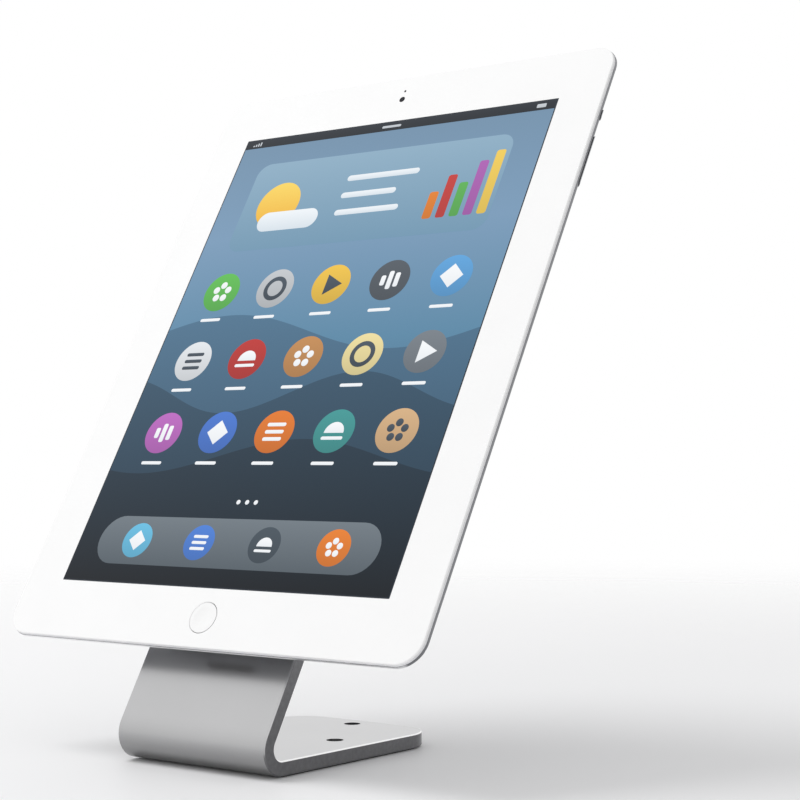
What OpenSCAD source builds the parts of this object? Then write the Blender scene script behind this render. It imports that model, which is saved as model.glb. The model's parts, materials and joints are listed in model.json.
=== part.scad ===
// Tablet security kiosk stand: a tablet that turns on a spindle near the top of a bent plate.
// The origin is the centre of the foot's screw circle, on the underside of the mat.
// +X is the viewer's right, the screen faces -Y and +Z is up. Millimetres.

/* [Stand plate] */
// Width of the bent plate
plate_w = 66.5; // [64:0.5:90]
// Thickness of the plate
plate_t = 5; // [4.5:0.5:8]
// Lean of the upright from the vertical, in degrees
lean = 30; // [15:1:40]
// Inner radius of the bend
bend_r = 4; // [2:0.5:8]
// Chamfer along the edges of the plate
plate_chamfer = 0.4; // [0.2:0.1:1]
// Swivel axis, up the front of the upright from the ground
hub_rise = 159; // [156:1:220]
// Foot, from the front of the upright at the ground to its far end
foot_len = 100; // [96:1:150]
// Radius of the foot's corners
foot_corner = 15; // [8:0.5:25]

/* [Table fixing] */
// Diameter of the circle that the table screws lie on
screw_circle = 44; // [36:1:46]
// Number of table screws
screw_count = 3; // [3:1:6]
// Diameter of each table screw's hole
screw_hole = 6; // [4:0.1:7]
// Centre of the screw circle, from the far end of the foot
screws_from_end = 30; // [29:1:45]
// Thickness of the rubber mat under the foot
mat_t = 0.5; // [0.3:0.1:3]
// Mat's edge, inside the edge of the foot
mat_inset = 1.5; // [1:0.1:4]
// Mat's holes, wider than the table screws' holes by this all round
mat_hole_margin = 1; // [0.5:0.1:2]

/* [Swivel] */
// Diameter of the spindle
spindle_d = 20; // [18:0.5:22]
// Wall of the bush that the spindle turns in
bush_wall = 3; // [2:0.1:3.5]
// Thickness of the bush's rear flange
bush_flange_t = 1; // [0.8:0.1:2]
// Width of the bush's rear flange
bush_flange_w = 3; // [2:0.1:3.5]
// Thickness of the thrust washer
washer_t = 0.7; // [0.5:0.1:2]
// Thickness of the disc that the tablet is stuck to
disc_t = 2; // [2:0.1:4]
// Diameter of that disc
disc_d = 96; // [80:1:120]
// Thickness of the adhesive pad
pad_t = 1; // [0.5:0.1:2]
// Pad's edge, inside the edge of the disc
pad_inset = 2; // [1:0.5:6]
// Height of the disc spring under load
spring_h = 1.5; // [1.3:0.1:3]
// Thickness of the disc spring's metal
spring_t = 1; // [0.8:0.1:1.2]
// Thickness of the retaining ring
ring_t = 1.2; // [1:0.1:2]
// Depth of the ring's groove in the spindle
ring_groove = 1; // [0.6:0.1:1.5]
// Diameter of the stop pin
stop_pin_d = 3.5; // [3:0.1:4]
// Radius at which the stop pin runs
stop_r = 24.5; // [23.5:0.1:25.5]
// Depth of the stop pin's track
track_depth = 2.5; // [1.5:0.1:3]
// Turn of the tablet, from upright to sideways
turn = 90; // [60:1:100]
// Diameter of the screws that hold the spindle to the disc
spindle_screw_d = 4; // [3:0.1:5]
// Length of those screws
spindle_screw_len = 8; // [6:0.5:9]

/* [Lock] */
// Outer diameter of the lock cap
cap_d = 58; // [56:0.5:62]
// Wall of the lock cap
cap_wall = 3; // [2.5:0.1:4]
// Fillet on the outer edge of the cap
cap_fillet = 2; // [0.5:0.1:2.5]
// Diameter of the lock's barrel
barrel_d = 19; // [18:0.5:22]
// Length of the barrel inside the cap
barrel_len = 9; // [8:0.5:16]
// Diameter of the barrel's rear flange
barrel_flange_d = 23; // [22.5:0.5:28]
// Thickness of that flange
barrel_flange_t = 2; // [1:0.1:3]
// Diameter of the plug that the key turns
plug_d = 12; // [11:0.5:14]
// Thickness of the nut behind the cap's wall
lock_nut_t = 4; // [3:0.5:6]
// Thickness of the cam
cam_t = 2; // [1.5:0.1:3]
// Reach of the cam from the lock's axis
cam_reach = 20; // [18.5:0.1:20]
// Width of the cam's arm
cam_w = 8; // [6:0.5:10]
// Thickness of the keeper's lip
keeper_t = 1.8; // [1.5:0.1:2.5]
// Diameter of the keeper's screws
keeper_screw_d = 3; // [2.5:0.1:3]
// Diameter of the dowels between cap and plate
dowel_d = 2; // [1.5:0.1:2]
// Length of each dowel
dowel_len = 8; // [6:0.5:12]

/* [Tablet] */
// Width of the tablet
tab_w = 185.7; // [170:0.1:210]
// Height of the tablet
tab_h = 241.2; // [220:0.1:265]
// Thickness of the tablet
tab_t = 9.4; // [9.2:0.1:12]
// Radius of the tablet's corners
tab_corner = 9.5; // [9.2:0.1:18]
// Width of the slanted and rounded edge of the back
back_reach = 9.1; // [8:0.1:9.2]
// Radius of the rounded edge of the back
back_r = 6.5; // [5:0.1:7.5]
// Straight part of the tablet's side, under the glass
side_wall = 1; // [0.6:0.1:1.5]
// Thickness of the cover glass
glass_t = 0.9; // [0.7:0.1:1.2]
// Edge of the glass, inside the edge of the tablet
glass_inset = 0.3; // [0.2:0.05:1]
// Thickness of the gasket under the glass
gasket_t = 0.5; // [0.3:0.1:0.8]
// Width of the gasket
gasket_w = 2; // [1.5:0.1:2.3]
// Thickness of the back wall
back_wall = 1; // [0.8:0.1:1.5]
// White border on each side of the lit screen
border_side = 19.1; // [18.9:0.1:23]
// White border above and below the lit screen
border_end = 22.3; // [22.1:0.1:28]
// Border of the display module round the lit screen
display_border = 3; // [2:0.1:3]
// Thickness of the display module
display_t = 3; // [2.5:0.1:3.2]
// Width of the ledge that carries the display module
display_ledge = 4; // [3:0.1:5]
// Thickness of the battery's cells
cell_t = 3.6; // [3:0.1:3.9]
// Width of the logic board
board_w = 23; // [20:0.5:25]
// Diameter of the home button
home_d = 11; // [9:0.1:11.2]
// Home button's centre, below the lit screen
home_drop = 11.2; // [10.8:0.1:11.4]
// Travel of the home button
home_travel = 0.4; // [0.2:0.05:0.4]

/* [Edge keys] */
// Depth of the edge keys' middle behind the front of the glass
key_depth = 3.4; // [3.3:0.05:3.6]
// Thickness of the edge keys
key_t = 2.2; // [1.6:0.1:2.4]
// How far the edge keys stand proud of the edge
key_proud = 0.4; // [0.2:0.05:0.6]
// Travel of the sleep button
key_travel = 0.4; // [0.2:0.05:0.5]
// Length of the sleep button
sleep_len = 10; // [8:0.5:14]
// Sleep button's middle, in from the tablet's right edge
sleep_x = 30.85; // [28.85:1:42.85]
// Length of the volume rocker
rocker_len = 21; // [14:0.5:22]
// Volume rocker's middle, below the tablet's top edge
rocker_y = 49.6; // [48.6:0.5:54.6]
// Length of the side switch
switch_len = 4; // [3:0.5:5]
// Travel of the side switch
switch_travel = 1.6; // [1:0.1:2]
// Side switch's middle, below the tablet's top edge
switch_y = 29.5; // [24.5:0.5:30]

/* [Sockets] */
// Width of the charging socket's mouth
dock_w = 21.5; // [16:0.5:24]
// Height of the charging socket's mouth
dock_h = 2; // [1.6:0.1:2]
// Diameter of the headphone socket's bore
jack_d = 3.6; // [3.5:0.05:3.8]
// Length of the headphone socket's body
jack_len = 11; // [9:0.5:11]
// Headphone socket, in from the tablet's left edge
jack_x = 30.85; // [24.85:1:42.85]
// Diameter of the rear camera's window
lens_d = 5.6; // [4:0.1:6]

/* [Hidden] */
$fn = 96;

// Clearances: fixed pieces, turning pieces, sliding keys, and pieces that pass each other
fit_gap = 0.05;
run_gap = 0.04;
key_gap = 0.2;
pass_gap = 0.4;
// Cutters reach this far past the face that they open
cut = 1;

// The plate's bend, the foot and the place of the swivel axis
bend_outer = bend_r + plate_t;
bend_turn = 90 + lean;
bend_tangent = bend_outer * tan(bend_turn / 2);
// The bend runs on into both legs by this angle, a hair thinner than they are
bend_overlap = 1;
bend_inset = 0.002;
corner_y = screws_from_end - foot_len;
foot_corner_x = plate_w / 2 - foot_corner;
foot_corner_y = screws_from_end - foot_corner;

// Levels along the swivel axis: the upright's front face is 0 and the viewer's side is positive
disc_back = washer_t;
disc_front = disc_back + disc_t;
pad_front = disc_front + pad_t;
glass_front = pad_front + tab_t;
flange_back = -plate_t - bush_flange_t;
spring_back = flange_back - spring_h;
ring_back = spring_back - ring_t;
spindle_tail = 1.5;
spindle_back = ring_back - spindle_tail;
cam_screw_head = 1.6;
cam_front = spindle_back - cam_screw_head - 1;
cam_back = cam_front - cam_t;
lip_front = cam_back - pass_gap;
lip_back = lip_front - keeper_t;
barrel_front = cam_back - pass_gap;
cap_inner = barrel_front - barrel_len;
cap_back = cap_inner - cap_wall;
lock_face = cap_back - barrel_flange_t;

// The swivel's and the lock's radii
spindle_r = spindle_d / 2;
bush_r = spindle_r + bush_wall;
bush_flange_r = bush_r + bush_flange_w;
track_w = stop_pin_d + 2 * key_gap;
washer_r = stop_r - track_w / 2 - 1;
cap_inner_r = cap_d / 2 - cap_wall;
keeper_r = cap_inner_r - pass_gap;
keeper_inner = bush_flange_r + pass_gap;
keeper_post_y = cam_reach + pass_gap + 0.4;
keeper_base_t = 2;
keeper_base_w = 26;
keeper_post_w = 12;
keeper_screw_x = 8.5;
keeper_screw_y = (keeper_inner + keeper_r) / 2 - 0.3;
keeper_screw_depth = 2.8;
keeper_head_r = keeper_screw_d * 0.85;
keeper_head_t = 1.6;
dowel_r = cap_d / 2 - cap_wall / 2;
dowel_angles = [-45, 135];
dowel_depth = 2.2;
drive_side = 6;
cam_screw_d = 3;
key_ring_r = plug_d / 4;
key_ring_w = 1.1;
key_ring_depth = 5;
spindle_screw_r = spindle_r - spindle_screw_d;
spindle_screw_count = 3;

// Levels inside the tablet, behind the front of the glass, which is 0 in the tablet's own frame
rim_z = -(glass_t + gasket_t);
display_back = -(glass_t + display_t);
cavity_back = back_wall - tab_t;
// The flank runs from the lower end of the straight side and touches the round edge of the back
side_end = [tab_corner, rim_z - side_wall];
round_axis = [tab_corner - back_reach, back_r - tab_t];
round_to_side = side_end - round_axis;
flank_turn = atan2(round_to_side[1], round_to_side[0]) - acos(back_r / norm(round_to_side));
flank_normal = [cos(flank_turn), sin(flank_turn)];
screen_w = tab_w - 2 * border_side;
screen_h = tab_h - 2 * border_end;
display_w = screen_w + 2 * display_border;
display_h = screen_h + 2 * display_border;
cavity_w = display_w - 2 * display_ledge;
cavity_h = display_h - 2 * display_ledge;
display_gap = 0.3;

// The home button and the charging socket behind it, in the bay below the display
home_y = -screen_h / 2 - home_drop;
home_flange_r = home_d / 2 + 0.5;
home_flange_t = 1;
home_depth = 2.2;
home_dome_t = 0.25;
home_plate_t = 0.8;
home_plate_back = -(home_depth + home_travel + fit_gap + home_dome_t + home_plate_t);
dock_wall = 0.3;
dock_depth = 7.5;
dock_block_h = dock_h + 2 * dock_wall;
dock_block_w = dock_w + 3.5;
dock_z = home_plate_back - dock_block_h / 2;
dock_inset = 4.5;
dock_y = dock_inset - tab_h / 2;
bay_w = max(dock_block_w, 2 * home_flange_r) + 3;
bay_top = -display_h / 2 - display_gap - 1;
bay_back = dock_z - dock_block_h / 2;

// The edge keys, inwards from the tablet's edge
key_wall = 3.4;
key_play = 0.35;
key_flange_t = 0.8;
key_flange_front = key_wall + key_play;
key_flange_back = key_flange_front + key_flange_t;
key_switch_front = key_flange_back + max(key_travel, key_play) + 0.1;
key_switch_t = 0.6;
key_bay_end = key_switch_front + key_switch_t;
key_flange_margin = 0.5;
key_bay_h = key_t + 2 * key_flange_margin + 2 * key_gap;
key_flange_extra = 2;
rocker_tilt = 1.5;
fulcrum_r = key_switch_front - key_flange_back - fit_gap;

// The headphone socket, the cameras and the speaker
jack_z = -4.4;
jack_body_w = 6;
jack_body_t = 5;
jack_inset = 6;
jack_y = tab_h / 2 - jack_inset - jack_len;
front_camera_rise = 11;
front_camera_y = screen_h / 2 + front_camera_rise;
front_camera_d = 4.5;
front_bay_back = -4.6;
sensor_rise = 15;
sensor_y = screen_h / 2 + sensor_rise;
sensor_size = 2;
rear_camera_side = 7.4;
rear_camera_inset = 13.9;
rear_camera_drop = 14;
rear_camera_x = tab_w / 2 - rear_camera_inset;
rear_camera_y = tab_h / 2 - rear_camera_drop;
window_t = 0.7;
speaker_w = 44;
speaker_h = 11;
speaker_inset = 8.75;
speaker_x = cavity_w / 2 - speaker_inset - speaker_w / 2;
speaker_y = -cavity_h / 2 + speaker_h / 2 + 0.5;
grille_pitch = 2.4;
grille_d = 1.2;
grille_columns = 14;
grille_rows = 3;

// The battery and the board share the cavity behind the display
cavity_margin = 1;
cell_count = 3;
cell_gap = 1;
cells_w = cavity_w - board_w - 3 * cavity_margin;
cell_w = (cells_w - (cell_count - 1) * cell_gap) / cell_count;
cell_bottom = speaker_y + speaker_h / 2 + cavity_margin;
cell_top = cavity_h / 2 - cavity_margin;
board_x = cavity_w / 2 - cavity_margin - board_w / 2;
board_t = 1;
can_h = 2;
can_margin = 2;
can_count = 3;
can_gap = 4;

// Frame on the swivel axis: x to the right, y up the slope, z towards the viewer
module at_hub() {
    translate([0, corner_y, mat_t]) rotate([90 - lean, 0, 0]) translate([0, hub_rise, 0]) children();
}

// Frame at the middle of the glass's front
module in_tablet() {
    at_hub() translate([0, 0, glass_front]) children();
}

// Frame on the tablet's right edge, a drop below its top edge: x outwards, y along the edge
module on_right(drop) {
    translate([tab_w / 2, tab_h / 2 - drop, -key_depth]) children();
}

// Frame on the tablet's top edge, in from its right edge: x outwards, y to the left
module on_top(inset) {
    translate([tab_w / 2 - inset, tab_h / 2, -key_depth]) rotate([0, 0, 90]) children();
}

// Ring or disc between two levels
module ring(outer, inner, low, high) {
    difference() {
        translate([0, 0, low]) cylinder(r = outer, h = high - low);
        if (inner > 0) translate([0, 0, low - cut]) cylinder(r = inner, h = high - low + 2 * cut);
    }
}

// Box centred on x and y, between two levels
module block(w, h, low, high) {
    translate([-w / 2, -h / 2, low]) cube([w, h, high - low]);
}

// Rectangle with round corners
module round_rect(w, h, r) {
    square([w - 2 * r, h], center = true);
    square([w, h - 2 * r], center = true);
    for (x = [-1, 1], y = [-1, 1])
        translate([x * (w / 2 - r), y * (h / 2 - r)]) circle(r);
}

// Slab with round corners, between two levels
module slab(w, h, r, low, high) {
    translate([0, 0, low]) linear_extrude(high - low) round_rect(w, h, r);
}

// Cross-section of the stand plate: its outer face lies on y = 0; inset draws every side in
module plate_section(inset = 0) {
    side = plate_w / 2 - inset;
    low = inset;
    high = plate_t - inset;
    polygon([
        [plate_chamfer - side, low], [side - plate_chamfer, low], [side, low + plate_chamfer],
        [side, high - plate_chamfer], [side - plate_chamfer, high], [plate_chamfer - side, high],
        [-side, high - plate_chamfer], [-side, low + plate_chamfer]
    ]);
}

// Edge of the stand plate, from the axis of a round corner outwards
module plate_rim(corner) {
    polygon([
        [0, 0], [corner - plate_chamfer, 0], [corner, plate_chamfer],
        [corner, plate_t - plate_chamfer], [corner - plate_chamfer, plate_t], [0, plate_t]
    ]);
}

// Half-round end of the upright, on the +y side of its centre
module upright_end() {
    rotate_extrude(angle = 180) plate_rim(plate_w / 2);
}

// Straight end of the foot with round corners, on the +y side of the corners' axes
module foot_end() {
    translate([foot_corner_x, 0, 0]) rotate_extrude(angle = 90) plate_rim(foot_corner);
    translate([-foot_corner_x, 0, 0]) rotate([0, 0, 90]) rotate_extrude(angle = 90) plate_rim(foot_corner);
    translate([-foot_corner_x, 0, 0]) rotate([90, 0, 90])
        linear_extrude(2 * foot_corner_x) plate_rim(foot_corner);
}

// Straight leg of the plate, away from the bend's axis along y to the end that is its child
module plate_leg(length) {
    translate([0, length, -bend_outer]) {
        children();
        rotate([90, 0, 0]) linear_extrude(length) plate_section();
    }
}

// The strip, bent between the foot and the upright, both placed from the bend's axis
module plate_strip() {
    translate([0, corner_y + bend_tangent, mat_t + bend_outer]) {
        plate_leg(foot_corner_y - corner_y - bend_tangent) foot_end();
        rotate([90 - lean, 0, 0]) rotate([0, 180, 0]) plate_leg(hub_rise - bend_tangent) upright_end();
        rotate([90, 0, 90]) rotate([0, 0, 270 + bend_overlap])
            rotate_extrude(angle = -bend_turn - 2 * bend_overlap)
                translate([bend_outer, 0]) rotate(90) plate_section(bend_inset);
    }
}

// Children at each table screw
module at_table_screws() {
    for (i = [0 : screw_count - 1])
        rotate([0, 0, 90 + i * 360 / screw_count]) translate([screw_circle / 2, 0, 0]) children();
}

// Children at each keeper screw
module at_keeper_screws() {
    for (x = [-1, 1]) translate([x * keeper_screw_x, keeper_screw_y, 0]) children();
}

// Children at each dowel
module at_dowels() {
    for (a = dowel_angles) rotate([0, 0, a]) translate([dowel_r, 0, 0]) children();
}

// Curved track in the upright's front face, which the stop pin runs in
module stop_track() {
    rotate([0, 0, -90 - turn]) {
        rotate_extrude(angle = turn)
            translate([stop_r - track_w / 2, -track_depth]) square([track_w, track_depth + cut]);
        for (a = [0, turn])
            rotate([0, 0, a]) translate([stop_r, 0, 0]) ring(track_w / 2, 0, -track_depth, cut);
    }
}

module stand_plate() {
    color("silver") difference() {
        plate_strip();
        at_table_screws() cylinder(d = screw_hole, h = mat_t + plate_t + cut);
        at_hub() {
            ring(bush_r + fit_gap, 0, -plate_t - cut, cut);
            stop_track();
            at_keeper_screws()
                ring(keeper_screw_d / 2 + fit_gap, 0, -plate_t - cut, keeper_screw_depth - plate_t);
            at_dowels() ring(dowel_d / 2 + fit_gap, 0, -plate_t - cut, dowel_depth - plate_t);
        }
    }
}

module foot_mat() {
    mat_w = plate_w - 2 * mat_inset;
    mat_r = foot_corner - mat_inset;
    mat_front = corner_y + bend_tangent + mat_inset;
    color("dimgray") difference() {
        linear_extrude(mat_t) {
            translate([-mat_w / 2, mat_front]) square([mat_w, foot_corner_y - mat_front]);
            translate([-foot_corner_x, foot_corner_y - mat_r]) square([2 * foot_corner_x, 2 * mat_r]);
            for (x = [-1, 1]) translate([x * foot_corner_x, foot_corner_y]) circle(mat_r);
        }
        at_table_screws() ring(screw_hole / 2 + mat_hole_margin, 0, -cut, mat_t + cut);
    }
}

module spindle_bush() {
    color("ivory") at_hub() {
        ring(bush_r, spindle_r + run_gap, -plate_t, -run_gap);
        ring(bush_flange_r, spindle_r + run_gap, flange_back, -plate_t);
    }
}

module lock_cap() {
    fillet_r = min(cap_fillet, cap_wall - 0.5);
    color("gainsboro") at_hub() difference() {
        rotate_extrude() difference() {
            translate([0, cap_back]) square([cap_d / 2, -plate_t - cap_back]);
            translate([0, cap_inner]) square([cap_inner_r, -cap_inner]);
            translate([0, cap_back - cut]) square([barrel_d / 2 + fit_gap, cap_wall + 2 * cut]);
            translate([cap_d / 2 - fillet_r, cap_back]) difference() {
                translate([0, -cut]) square([fillet_r + cut, fillet_r + cut]);
                translate([0, fillet_r]) circle(fillet_r);
            }
        }
        at_dowels() ring(dowel_d / 2 + fit_gap, 0, dowel_depth - plate_t - dowel_len - cut, 0);
    }
}

module lock_barrel() {
    color("silver") at_hub() {
        ring(barrel_d / 2, plug_d / 2 + run_gap, cap_back, barrel_front);
        ring(barrel_flange_d / 2, plug_d / 2 + run_gap, lock_face, cap_back);
    }
}

module lock_nut() {
    nut_r = barrel_d / 2 + 4;
    color("darkgray") at_hub() difference() {
        translate([0, 0, cap_inner]) cylinder(r = nut_r, h = lock_nut_t, $fn = 6);
        ring(barrel_d / 2 + fit_gap, 0, cap_inner - cut, cap_inner + lock_nut_t + cut);
    }
}

module keeper_bracket() {
    color("slategray") at_hub() difference() {
        intersection() {
            ring(keeper_r, 0, lip_back, -plate_t);
            union() {
                translate([-keeper_base_w / 2, keeper_inner, -plate_t - keeper_base_t])
                    cube([keeper_base_w, keeper_r, keeper_base_t]);
                translate([-keeper_post_w / 2, keeper_post_y, lip_back])
                    cube([keeper_post_w, keeper_r, -plate_t - lip_back]);
                translate([-keeper_post_w / 2, keeper_inner - 1, lip_back])
                    cube([keeper_post_w, keeper_r, keeper_t]);
            }
        }
        at_keeper_screws() ring(keeper_screw_d / 2 + fit_gap, 0, -plate_t - keeper_base_t - cut, 0);
    }
}

module keeper_screws() {
    seat = -plate_t - keeper_base_t;
    color("dimgray") at_hub() at_keeper_screws() {
        ring(keeper_screw_d / 2, 0, seat, keeper_screw_depth - plate_t);
        difference() {
            ring(keeper_head_r, 0, seat - keeper_head_t, seat);
            translate([0, 0, seat - keeper_head_t - cut])
                cylinder(r = keeper_head_r / 2, h = cut + keeper_head_t / 2, $fn = 6);
        }
    }
}

module cap_dowels() {
    color("lightgray") at_hub() at_dowels()
        ring(dowel_d / 2, 0, dowel_depth - plate_t - dowel_len, dowel_depth - plate_t);
}

// Children at each screw between the disc and the spindle
module at_spindle_screws() {
    for (i = [0 : spindle_screw_count - 1])
        rotate([0, 0, i * 360 / spindle_screw_count]) translate([spindle_screw_r, 0, 0]) children();
}

// Screw with a countersunk head, flush with the disc's front; grow makes the hole that it sits in
module spindle_screw(grow) {
    head_r = spindle_screw_d;
    head_t = disc_t * 0.75;
    translate([0, 0, disc_front]) rotate([180, 0, 0]) {
        cylinder(r1 = head_r + grow, r2 = spindle_screw_d / 2 + grow, h = head_t);
        cylinder(r = spindle_screw_d / 2 + grow, h = spindle_screw_len + grow);
    }
}

module swivel_disc() {
    chamfer = disc_t / 4;
    color("darkgray") at_hub() difference() {
        rotate_extrude() polygon([
            [0, disc_back], [disc_d / 2 - chamfer, disc_back], [disc_d / 2, disc_back + chamfer],
            [disc_d / 2, disc_front - chamfer], [disc_d / 2 - chamfer, disc_front], [0, disc_front]
        ]);
        at_spindle_screws() spindle_screw(fit_gap);
        rotate([0, 0, -90]) translate([stop_r, 0, 0])
            ring(stop_pin_d / 2 + fit_gap, 0, disc_back - cut, disc_front + cut);
    }
}

module spindle() {
    color("gray") at_hub() difference() {
        ring(spindle_r, 0, spindle_back, disc_back);
        ring(spindle_r + cut, spindle_r - ring_groove, ring_back - fit_gap, spring_back + fit_gap);
        at_spindle_screws() spindle_screw(fit_gap);
    }
}

module spindle_screws() {
    color("dimgray") at_hub() at_spindle_screws() difference() {
        spindle_screw(0);
        translate([0, 0, disc_front - 1]) cylinder(r = spindle_screw_d * 0.35, h = 1 + cut, $fn = 6);
    }
}

module stop_pin() {
    color("lightgray") at_hub() rotate([0, 0, -90]) translate([stop_r, 0, 0])
        ring(stop_pin_d / 2, 0, pass_gap - track_depth, disc_front);
}

module thrust_washer() {
    color("white") at_hub() ring(washer_r, spindle_r + pass_gap, 0, washer_t);
}

module disc_spring() {
    inner = spindle_r + pass_gap;
    outer = bush_flange_r - pass_gap;
    color("steelblue") at_hub() rotate_extrude() polygon([
        [inner, spring_back], [inner, spring_back + spring_t],
        [outer, flange_back], [outer, flange_back - spring_t]
    ]);
}

module retaining_ring() {
    ring_r = spindle_r + bush_wall - pass_gap;
    mouth = spindle_d * 0.4;
    color("black") at_hub() difference() {
        ring(ring_r, spindle_r - ring_groove + fit_gap, ring_back, spring_back);
        translate([-mouth / 2, -ring_r - cut, ring_back - cut]) cube([mouth, ring_r + cut, ring_t + 2 * cut]);
    }
}

module adhesive_pad() {
    color("whitesmoke") at_hub() ring(disc_d / 2 - pad_inset, 0, disc_front, pad_front);
}

// Edge of the tablet's back, from the corner's axis outwards; grow moves its surface out
module back_profile(grow) {
    reach = tab_corner + grow;
    bottom = -tab_t - grow;
    flank_top = side_end + grow * [1, (1 - flank_normal[0]) / flank_normal[1]];
    flank_foot = round_axis + (back_r + grow) * flank_normal;
    intersection() {
        translate([0, bottom]) square([reach, rim_z - bottom]);
        union() {
            translate(round_axis) circle(back_r + grow);
            polygon([
                [0, bottom], [round_axis[0], bottom], flank_foot, flank_top, [reach, rim_z], [0, rim_z]
            ]);
        }
    }
}

// One straight side of the tablet's outer form, with its length along y
module back_side(length, grow) {
    translate([0, length / 2, 0]) rotate([90, 0, 0]) linear_extrude(length) back_profile(grow);
}

// The tablet's outer form under the gasket
module back_form(grow) {
    inner_w = tab_w - 2 * tab_corner;
    inner_h = tab_h - 2 * tab_corner;
    block(inner_w, inner_h, -tab_t - grow, rim_z);
    for (side = [0, 180]) rotate([0, 0, side]) {
        translate([inner_w / 2, 0, 0]) back_side(inner_h, grow);
        rotate([0, 0, 90]) translate([inner_h / 2, 0, 0]) back_side(inner_w, grow);
        translate([inner_w / 2, inner_h / 2, 0]) rotate_extrude(angle = 90) back_profile(grow);
        translate([-inner_w / 2, inner_h / 2, 0]) rotate([0, 0, 90])
            rotate_extrude(angle = 90) back_profile(grow);
    }
}

// Bar with round ends along y, reaching inwards from x = front to x = back
module key_bar(length, thick, front, back) {
    translate([-back, 0, 0]) rotate([0, 90, 0]) linear_extrude(back - front) {
        square([thick, length - thick], center = true);
        for (y = [-1, 1]) translate([0, y * (length - thick) / 2]) circle(d = thick);
    }
}

// Slot and bay for an edge key, cut out of the shell; slide is the key's travel along the edge
module key_cut(length, slide) {
    bay_len = length + slide + key_flange_extra + 2 * pass_gap;
    bay_top_z = key_depth + rim_z + cut;
    key_bar(length + slide + 2 * key_gap, key_t + 2 * key_gap, -cut - key_proud, key_wall + cut);
    translate([-key_bay_end, -bay_len / 2, -key_bay_h / 2])
        cube([key_bay_end - key_wall, bay_len, key_bay_h / 2 + bay_top_z]);
}

// Inner end of an edge key: a stem behind the slot and the flange that keeps it in
module key_flange(length) {
    flange_len = length + key_flange_extra;
    flange_h = key_t + 2 * key_flange_margin;
    translate([-key_flange_back, -flange_len / 2, -flange_h / 2]) cube([key_flange_t, flange_len, flange_h]);
}

// Stem of an edge key, as long as the slot is deep
module key_stem(length) {
    key_bar(length, key_t, -cut - key_proud, key_flange_front);
}

// Switch strip at the end of a key's bay
module key_switch(length, slide) {
    strip_len = length + slide + key_flange_extra;
    translate([-key_bay_end, -strip_len / 2, -key_t / 2]) cube([key_switch_t, strip_len, key_t]);
}

module tablet_shell() {
    color("silver") in_tablet() difference() {
        back_form(0);
        slab(display_w + 2 * display_gap, display_h + 2 * display_gap, 1, display_back, rim_z + cut);
        slab(cavity_w, cavity_h, 2, cavity_back, rim_z + cut);
        translate([-bay_w / 2, dock_y, bay_back]) cube([bay_w, bay_top - dock_y, rim_z + cut - bay_back]);
        translate([0, dock_y, dock_z]) block(dock_w, 2 * dock_inset + cut, -dock_h / 2, dock_h / 2);
        translate([jack_x - tab_w / 2, jack_y + jack_len / 2, 0])
            block(jack_body_w + pass_gap, jack_len, jack_z - jack_body_t / 2, rim_z + cut);
        translate([jack_x - tab_w / 2, tab_h / 2 + cut, jack_z]) rotate([90, 0, 0])
            cylinder(d = jack_d + 2 * fit_gap, h = jack_inset + 2 * cut);
        front_bay();
        rear_camera_bay();
        on_top(sleep_x) key_cut(sleep_len, 0);
        on_right(rocker_y) key_cut(rocker_len, 0);
        on_right(switch_y + switch_travel / 2) key_cut(switch_len, switch_travel);
        at_grille() cylinder(d = grille_d, h = back_wall + 2 * cut);
    }
}

// Pocket for the front camera and the light sensor
module front_bay() {
    margin = front_camera_d / 2 + 0.5;
    low = front_camera_y - margin;
    translate([-margin, low, front_bay_back])
        cube([2 * margin, sensor_y + sensor_size - low, rim_z + cut - front_bay_back]);
}

// Pocket for the rear camera, with the hole for its window
module rear_camera_bay() {
    side = rear_camera_side + pass_gap;
    translate([rear_camera_x, rear_camera_y, 0]) {
        block(side, side, cavity_back, rim_z + cut);
        ring(lens_d / 2 + fit_gap, 0, -tab_t - cut, cavity_back + cut);
    }
}

// Children at each hole of the speaker's grille
module at_grille() {
    for (i = [0 : grille_columns - 1], j = [0 : grille_rows - 1])
        translate([
            speaker_x + (i - (grille_columns - 1) / 2) * grille_pitch,
            speaker_y + (j - (grille_rows - 1) / 2) * grille_pitch,
            -tab_t - cut
        ]) children();
}

module cover_glass() {
    color("white") in_tablet() difference() {
        slab(tab_w - 2 * glass_inset, tab_h - 2 * glass_inset, tab_corner - glass_inset, -glass_t, 0);
        translate([0, home_y, 0]) ring(home_d / 2 + key_gap, 0, -glass_t - cut, cut);
    }
}

module glass_gasket() {
    outer_inset = glass_inset / 2;
    inner_inset = outer_inset + gasket_w;
    color("dimgray") in_tablet() difference() {
        slab(tab_w - 2 * outer_inset, tab_h - 2 * outer_inset, tab_corner - outer_inset, rim_z, -glass_t);
        slab(tab_w - 2 * inner_inset, tab_h - 2 * inner_inset, tab_corner - inner_inset, rim_z - cut, cut);
    }
}

module display_module() {
    color("midnightblue") in_tablet() slab(display_w, display_h, 0.7, display_back, -glass_t);
}

module battery_cells() {
    first_x = -cavity_w / 2 + cavity_margin + cell_w / 2;
    color("darkslategray") in_tablet() for (i = [0 : cell_count - 1])
        translate([first_x + i * (cell_w + cell_gap), (cell_top + cell_bottom) / 2, 0])
            slab(cell_w, cell_top - cell_bottom, 2, cavity_back, cavity_back + cell_t);
}

module logic_board() {
    color("darkgreen") in_tablet() translate([board_x, (cell_top + cell_bottom) / 2, 0])
        block(board_w, cell_top - cell_bottom, cavity_back, cavity_back + board_t);
}

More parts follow.
